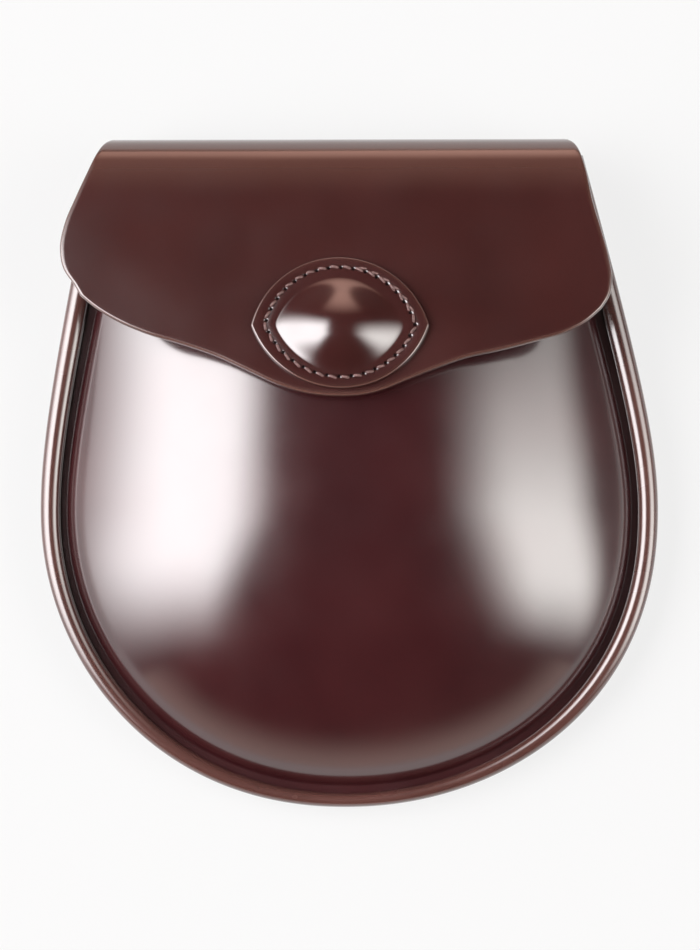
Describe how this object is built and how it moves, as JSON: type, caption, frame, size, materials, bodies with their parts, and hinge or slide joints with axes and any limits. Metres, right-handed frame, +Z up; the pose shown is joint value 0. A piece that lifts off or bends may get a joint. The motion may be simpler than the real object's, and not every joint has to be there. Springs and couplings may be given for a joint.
{
  "type": "sporran pouch",
  "caption": "Moulded leather belt pouch with a domed front, rolled rim, folded flap with a domed patch and strap loops behind.",
  "frame": {"origin": "middle of the bounding box, on the surface that the pouch lies on", "axes": "+Z up, out of the domed front; +Y along the back towards the folded top; +X to the right as seen from the front. The pouch leans back 2.6 degrees on its strap loops"},
  "size_m": [0.1902, 0.2052, 0.0514],
  "materials": {
    "front_leather": "polished, dark red-brown",
    "back_leather": "smooth, dark red-brown",
    "rim_leather": "polished, red-brown",
    "flap_leather": "semi-polished, dark red-brown",
    "patch_leather": "polished, dark red-brown",
    "loop_leather": "smooth, dark red-brown",
    "stud_brass": "turned"
  },
  "bodies": {
    "root": {"front_panel": "front_leather", "back_panel": "back_leather", "rim_roll": "rim_leather", "flap": "flap_leather", "stud_patch": "patch_leather", "closure_stud": "stud_brass", "strap_loop_left": "loop_leather", "strap_loop_right": "loop_leather"}
  },
  "joints": []
}
